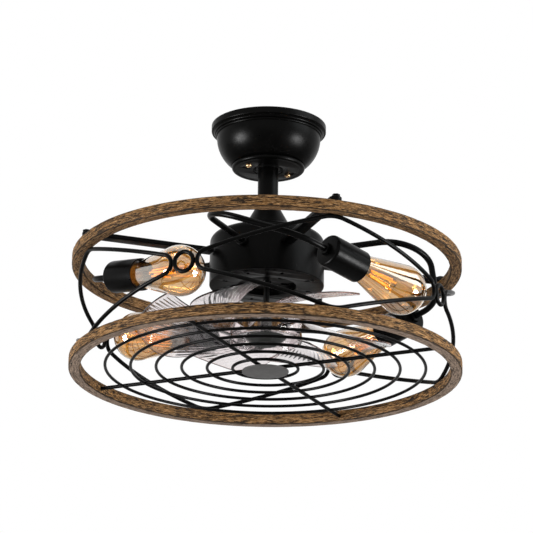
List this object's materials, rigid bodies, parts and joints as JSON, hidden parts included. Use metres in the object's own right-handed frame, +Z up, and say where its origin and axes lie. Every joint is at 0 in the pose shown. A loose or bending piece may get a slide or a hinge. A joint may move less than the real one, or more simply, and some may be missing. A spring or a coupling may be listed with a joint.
{
  "type": "caged ceiling fan with lamps",
  "caption": "Round wire-caged ceiling fan on a short downrod: two wood-look hoops, a flat grille, clear impeller blades and bent-tube lamp arms with filament bulbs.",
  "frame": {"origin": "on the fan's axis in the ceiling plane, where the hanging bracket's top face meets the ceiling", "axes": "+Z up out of the ceiling face; +X along the bracket and two of the support bars"},
  "size_m": [0.503, 0.503, 0.338],
  "materials": {
    "black_paint": "satin black powder coat",
    "grey_paint": "matt dark grey paint",
    "zinc_steel": "zinc plated",
    "dark_steel": "blackened steel",
    "core_steel": "laminated core",
    "bearing_steel": "ground steel",
    "copper_wire": "enamelled copper",
    "brass_screw": "brass-plated screw",
    "base_metal": "stamped screw base",
    "weathered_wood": "brushed, weathered grain",
    "black_nylon": "moulded nylon",
    "dark_plastic": "satin moulding",
    "socket_plastic": "porcelain-look moulding",
    "filament": "coated filament",
    "clear_acrylic": "clear, ribbed",
    "amber_glass": "clear amber"
  },
  "bodies": {
    "ceiling_mount": {"hanging_bracket": "zinc_steel", "canopy": "black_paint", "canopy_screws": "brass_screw"},
    "fan_frame": {"arm_bushes": "black_paint", "arm_nuts": "black_paint", "ball_pin": "zinc_steel", "bar_bolts": "black_paint", "bulb_base_1": "base_metal", "bulb_base_2": "base_metal", "bulb_base_3": "base_metal", "bulb_base_4": "base_metal", "bulb_filament_1": "filament", "bulb_filament_2": "filament", "bulb_filament_3": "filament", "bulb_filament_4": "filament", "bulb_glass_1": "amber_glass", "bulb_glass_2": "amber_glass", "bulb_glass_3": "amber_glass", "bulb_glass_4": "amber_glass", "cage_links": "black_paint", "cage_loop_1": "black_paint", "cage_loop_2": "black_paint", "cage_loop_3": "black_paint", "cage_loop_4": "black_paint", "coupling_collar": "zinc_steel", "coupling_cover": "black_paint", "coupling_pin": "zinc_steel", "downrod": "black_paint", "grille_disc": "grey_paint", "hanger_ball": "black_nylon", "lamp_arm_1": "black_paint", "lamp_arm_2": "black_paint", "lamp_arm_3": "black_paint", "lamp_arm_4": "black_paint", "lamp_sockets": "socket_plastic", "lower_bearing": "bearing_steel", "lower_ring": "weathered_wood", "motor_bottom_plate": "black_paint", "motor_housing": "black_paint", "plate_screws": "dark_steel", "socket_cup_1": "black_paint", "socket_cup_2": "black_paint", "socket_cup_3": "black_paint", "socket_cup_4": "black_paint", "stator_coils": "copper_wire", "stator_core": "core_steel", "support_bar_1": "black_paint", "support_bar_2": "black_paint", "support_bar_3": "black_paint", "support_bar_4": "black_paint", "upper_bearing": "bearing_steel", "upper_ring": "weathered_wood", "wire_grille": "black_paint"},
    "impeller": {"motor_shaft": "dark_steel", "rotor": "core_steel", "impeller_hub": "dark_plastic", "impeller_blades": "clear_acrylic", "hub_nut": "zinc_steel", "hub_cap": "dark_plastic"}
  },
  "joints": [
    {"name": "hanger_tilt", "type": "hinge", "parent": "ceiling_mount", "child": "fan_frame", "pos_m": [0, 0, -0.0456], "axis": [1, 0, 0], "range_deg": [-12, 12]},
    {"name": "fan_spin", "type": "hinge", "parent": "fan_frame", "child": "impeller", "pos_m": [0, 0, -0.25], "axis": [0, 0, 1], "continuous": true}
  ]
}
